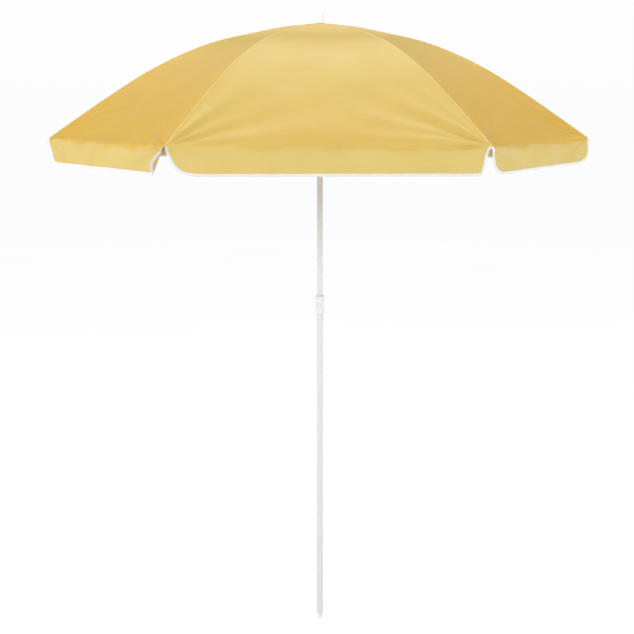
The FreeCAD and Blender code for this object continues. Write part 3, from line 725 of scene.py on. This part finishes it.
NODE_MATERIALS = {
    # the upper tube's paint is a darker, bluer copy of the lower tube's white: painted shade under the
    # canopy, with blue against the yellow cast there
    "upper_tube": paint_material("upper_tube_shaded_paint", (0.70, 0.742, 0.79), (0.67, 0.71, 0.757), 0.36),
    "lower_tube": paint_material(
        "lower_tube_paint", (0.735, 0.755, 0.775), (0.705, 0.725, 0.748), 0.36, dull_foot=True
    ),
    "finial_cap": plastic_material(
        "finial_moulded_plastic", (0.90, 0.90, 0.905), (0.86, 0.86, 0.865), 0.36, 0.05
    ),
    # only rib 5's tip is dark grey; the other tips are white
    "rib_tip_5": plastic_material("rib_5_dark_tip", (0.20, 0.205, 0.215), (0.15, 0.155, 0.165), 0.42),
    "pole_sleeve": COLLAR,
    "pole_clamp": COLLAR,
}

for part in frame["record"]["subparts"]:
    better = NODE_MATERIALS.get(part["node"]) or SLOT_MATERIALS.get(part["material_slot"])
    node = frame["nodes"][part["node"]]
    if better:
        if not node.data.materials:
            node.data.materials.append(better)
        for own_slot in node.material_slots:
            own_slot.material = better

# ---------------------------------------------------------------- the canopy's pieces

NEAR_RIB = np.r_[np.arange(0, 100, 2.4), np.arange(100, 150, 5)] * MM / HALF_RIM
SHARES = np.r_[NEAR_RIB, np.linspace(NEAR_RIB[-1] + 0.016, 1, 30)]
NEAR_RIM = 0.17
ROWS = np.r_[
    np.linspace(0, RIM - NEAR_RIM, 58),
    RIM - NEAR_RIM + 0.146 * np.arange(1, 33) / 32,
    RIM - np.array([20, 16, 12, 9, 6, 3, 0]) * MM,
]
DROPS = np.linspace(0, 1, 19)[1:]


def blend_round_pole(piece, rib):
    """Bakes the piece's transform into its mesh and works out how far round the pole each point is from the
    rib; it sets no blend between the rib and the half gore's body.
    """
    rib_azimuth = (rib - 1) * 2 * HALF_ANGLE
    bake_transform(piece)
    points = np.zeros(len(piece.data.vertices) * 3)
    piece.data.vertices.foreach_get("co", points)
    points = points.reshape(-1, 3)
    turned = np.arctan2(points[:, 1], points[:, 0]) - rib_azimuth
    turned = np.abs((turned + math.pi) % (2 * math.pi) - math.pi)


def make_cloth(gore, name, side):
    """The half gore's cloth, with its valance."""
    half = half_width(ROWS)[:, None]
    across = side * half * (1 - SHARES[None])
    down = np.repeat(ROWS[:, None], len(SHARES), axis=1)
    inward = HALF_RIM * SHARES
    drop = RIM + DROPS[:, None] * edge_depth(gore, side, inward)[None]
    across = np.concatenate([across, np.repeat((side * (HALF_RIM - inward))[None], len(DROPS), axis=0)])
    down = np.concatenate([down, drop])
    if side < 0:
        across, down = across[:, ::-1], down[:, ::-1]
    across, down = across[:, ::-1], down[:, ::-1]
    points = cloth_at(gore, across, down)
    normals = cloth_normal(gore, across, down, side)
    all_points, faces, border = shell(points, normals, CLOTH)
    uv = np.stack([across.ravel(), down.ravel()], -1)
    uv = np.concatenate([uv, uv])
    return new_object(name, all_points, faces, [CLOTH_MATERIALS[gore]], uv=uv, sharp=border)


# the folded tape's outline in mm: how far in from the hem, and how far out of the cloth
BINDING = [(7.2, 0.25), (6.9, 0.6), (6.3, 0.6), (5.7, 0.46), (5.1, 0.64), (3.3, 0.8), (1.2, 0.78), (0, 0.6)]
BINDING += [(-0.6, 0.22), (-0.6, -0.22)]
BINDING += [(into, -height) for into, height in reversed(BINDING[:8])]
STITCH_LINE, STITCH_HEIGHT = 5.7, 0.5


def make_binding(gore, name, side):
    """The white tape folded over the hem and the notch, with its row of stitches on both faces."""
    inward = np.r_[np.arange(0, 20, 1.0), np.arange(20, 100, 2.5), np.linspace(100, HALF_RIM / MM, 70)] * MM
    edge = np.stack([inward, edge_depth(gore, side, inward)], -1)
    run = np.gradient(edge, axis=0)
    run /= np.linalg.norm(run, axis=1, keepdims=True)
    into = np.stack([run[:, 1], -run[:, 0]], -1)
    rows, ring = len(edge), len(BINDING)
    lengths = np.r_[0, np.cumsum(np.linalg.norm(np.diff(edge, axis=0), axis=1))]

    def tape(depth, height):
        at = edge + into * depth * MM
        at[:, 0] = np.clip(at[:, 0], 0, HALF_RIM)
        across, down = side * (HALF_RIM - at[:, 0]), RIM + at[:, 1]
        outward = cloth_normal(gore, across, down, side)
        return cloth_at(gore, across, down) + outward * height * MM, outward

    rings = [tape(max(depth, 0), height) for depth, height in BINDING]
    points = np.stack([place for place, _ in rings], axis=1)
    rim, _ = tape(0, 0)
    inner, _ = tape(2, 0)
    off_edge = rim - inner
    off_edge /= np.linalg.norm(off_edge, axis=1, keepdims=True)
    for k, (depth, _) in enumerate(BINDING):
        if depth < 0:
            points[:, k] += off_edge * -depth * MM
    faces = tube_faces(rows, ring)
    uv = np.stack([np.repeat(lengths, ring), np.tile([d * MM for d, _ in BINDING], rows)], -1)
    all_points = [points.reshape(-1, 3)]
    slots = [0] * len(faces)
    offset = rows * ring
    for face in (1, -1):
        line, outward = tape(STITCH_LINE, face * STITCH_HEIGHT)
        more, more_faces = stitch_row(line, outward * face, offset)
        all_points.append(more)
        faces += more_faces
        slots += [1] * len(more_faces)
        offset += len(more)
    all_points = np.concatenate(all_points)
    uv = np.concatenate([uv, np.zeros((len(all_points) - len(uv), 2))])
    if side > 0:
        faces = [face[::-1] for face in faces[: slots.count(0)]] + faces[slots.count(0):]
    return new_object(name, all_points, faces, [TAPE_MATERIAL, WHITE_THREAD], slots, uv)


# half of the seam's outline in mm: how far in from the rib, and how far out of the cloth
SEAM = [(2.8, 0.18), (2.5, 0.46), (1.9, 0.38), (1.3, 0.54), (0.5, 0.6)]
SEAM_RIDGE = np.array([0, 0, 0.75 * MM])
SEAM_STITCH_LINE, SEAM_STITCH_HEIGHT = 1.9, 0.4


def make_seam(rib, name):
    """The felled seam over a rib, where two gores meet, with two rows of stitches."""
    down = np.r_[np.linspace(0.022, RIM - 0.03, 230), np.linspace(RIM - 0.028, RIM - 1.5 * MM, 16)]
    before, after = (rib - 2) % GORES + 1, rib
    half = half_width(down)
    columns = []
    for gore, side, section_points in ((before, 1, SEAM), (after, -1, SEAM[::-1])):
        for inward, height in section_points:
            across = side * (half - inward * MM)
            normal = cloth_normal(gore, across, down, side)
            columns.append(cloth_at(gore, across, down) + normal * height * MM)
        if side > 0:
            ridge = cloth_at(gore, side * half, down)
            columns.append(ridge + SEAM_RIDGE)
    for gore, side, inward in ((after, -1, 2.6), (after, -1, 0.0), (before, 1, 2.6)):
        across = side * (half - inward * MM)
        columns.append(cloth_at(gore, across, down))
    points = np.stack(columns, axis=1)
    rows, ring = points.shape[:2]
    faces = tube_faces(rows, ring)
    uv = np.stack([np.tile(np.linspace(-2.8, 2.8, ring) * MM, (rows, 1)).ravel(), np.repeat(down, ring)], -1)
    all_points, slots, offset = [points.reshape(-1, 3)], [0] * len(faces), rows * ring
    for gore, side in ((before, 1), (after, -1)):
        across = side * (half - SEAM_STITCH_LINE * MM)
        normal = cloth_normal(gore, across, down, side)
        line = cloth_at(gore, across, down) + normal * SEAM_STITCH_HEIGHT * MM
        more, more_faces = stitch_row(line, normal, offset)
        all_points.append(more)
        faces += more_faces
        slots += [1] * len(more_faces)
        offset += len(more)
    all_points = np.concatenate(all_points)
    uv = np.concatenate([uv, np.zeros((len(all_points) - len(uv), 2))])
    return new_object(name, all_points, faces, [SEAM_MATERIAL, YELLOW_THREAD], slots, uv)


for rib in range(1, GORES + 1):
    seam = make_seam(rib, f"seam_{rib}")
    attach(seam, f"rib_{rib}")
for gore in range(1, GORES + 1):
    for half_name, side in SIDES.items():
        node_name = f"canopy_{gore}_{half_name}"
        rib = gore if side < 0 else gore % GORES + 1
        cloth = make_cloth(gore, f"cloth_{gore}_{half_name}", side)
        binding = make_binding(gore, f"binding_{gore}_{half_name}", side)
        for piece in (cloth, binding):
            blend_round_pole(piece, rib)
        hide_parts(node_name)

# ---------------------------------------------------------------- floor, light and camera


FLOOR_GLOW, FLOOR_WHITE, SKY_LIGHT = 0.90, 0.975, 0.42


def floor_material():
    """Pale backlit floor, bright enough to meet the white surroundings."""
    n = Nodes("studio_floor")
    tone = n.noise(n.place("Object"), 0.8, 2.0)
    n.wear(
        Base_Color=n.ramp(tone, [(0.3, (0.17, 0.17, 0.17)), (0.7, (0.19, 0.19, 0.19))]),
        Roughness=0.9,
        Specular_IOR_Level=0.0,
        Emission_Color=(1, 1, 1, 1),
        Emission_Strength=FLOOR_GLOW,
    )
    return n.material


def studio_world():
    """White surroundings to the eye; as light, bright below the horizon and softer above it."""
    world = bpy.data.worlds.new("studio")
    world.use_nodes = True
    tree = world.node_tree
    direction = tree.nodes.new("ShaderNodeTexCoord")
    split = tree.nodes.new("ShaderNodeSeparateXYZ")
    tree.links.new(direction.outputs["Generated"], split.inputs["Vector"])
    strengths = []
    for low, high, at_low, at_high in ((0.0, 0.12, FLOOR_WHITE, 1.0), (-0.03, 0.03, FLOOR_WHITE, SKY_LIGHT)):
        span = tree.nodes.new("ShaderNodeMapRange")
        for name, value in zip(("From Min", "From Max", "To Min", "To Max"), (low, high, at_low, at_high)):
            span.inputs[name].default_value = value
        tree.links.new(split.outputs["Z"], span.inputs["Value"])
        strengths.append(span.outputs["Result"])
    rays = tree.nodes.new("ShaderNodeLightPath")
    choice = tree.nodes.new("ShaderNodeMix")
    tree.links.new(rays.outputs["Is Camera Ray"], choice.inputs[0])
    tree.links.new(strengths[1], choice.inputs[2])
    tree.links.new(strengths[0], choice.inputs[3])
    tree.links.new(choice.outputs[0], tree.nodes["Background"].inputs["Strength"])
    tree.nodes["Background"].inputs["Color"].default_value = (1, 1, 1, 1)
    return world


bpy.ops.mesh.primitive_circle_add(vertices=96, radius=12, fill_type="NGON", location=(0, 0, 0))
floor = bpy.context.object
floor.name = "studio_floor"
floor.data.materials.append(floor_material())

scene = bpy.context.scene
scene.world = studio_world()


def area_light(name, place, target, size, power):
    """A soft box, with its width and height, aimed at a point."""
    data = bpy.data.lights.new(name, "AREA")
    data.shape = "RECTANGLE"
    data.size, data.size_y = size
    data.energy = power
    made = bpy.data.objects.new(name, data)
    made.location = place
    made.rotation_euler = (Vector(target) - Vector(place)).to_track_quat("-Z", "Y").to_euler()
    bpy.context.collection.objects.link(made)


area_light("left_box", (-4.2, -2.4, 2.8), (0, 0, 1.5), (1.4, 1.4), 115)
area_light("right_box", (4.2, -2.4, 2.8), (0, 0, 1.5), (1.4, 1.4), 103)
area_light("key", (-1.0, -3.3, 5.2), (0, 0, 1.6), (1.1, 1.1), 39)
area_light("gloss", (0.0, 1.5, 4.8), (0, 0, 1.8), (4.0, 1.0), 60)

CAMERA_DISTANCE = 4.171
CAMERA_HEIGHT = 1.743
CAMERA_TURN = math.radians(-1.81)
CAMERA_PITCH = math.radians(9.49)
CAMERA_PAN = math.radians(0.13)
camera_data = bpy.data.cameras.new("camera")
camera_data.sensor_width = 36
camera_data.lens = 73.3
camera = bpy.data.objects.new("camera", camera_data)
camera.location = (
    CAMERA_DISTANCE * math.sin(CAMERA_TURN),
    -CAMERA_DISTANCE * math.cos(CAMERA_TURN),
    CAMERA_HEIGHT,
)
camera.rotation_euler = (math.pi / 2 - CAMERA_PITCH, 0, CAMERA_TURN + CAMERA_PAN)
bpy.context.collection.objects.link(camera)
scene.camera = camera
scene.view_settings.view_transform = "Standard"
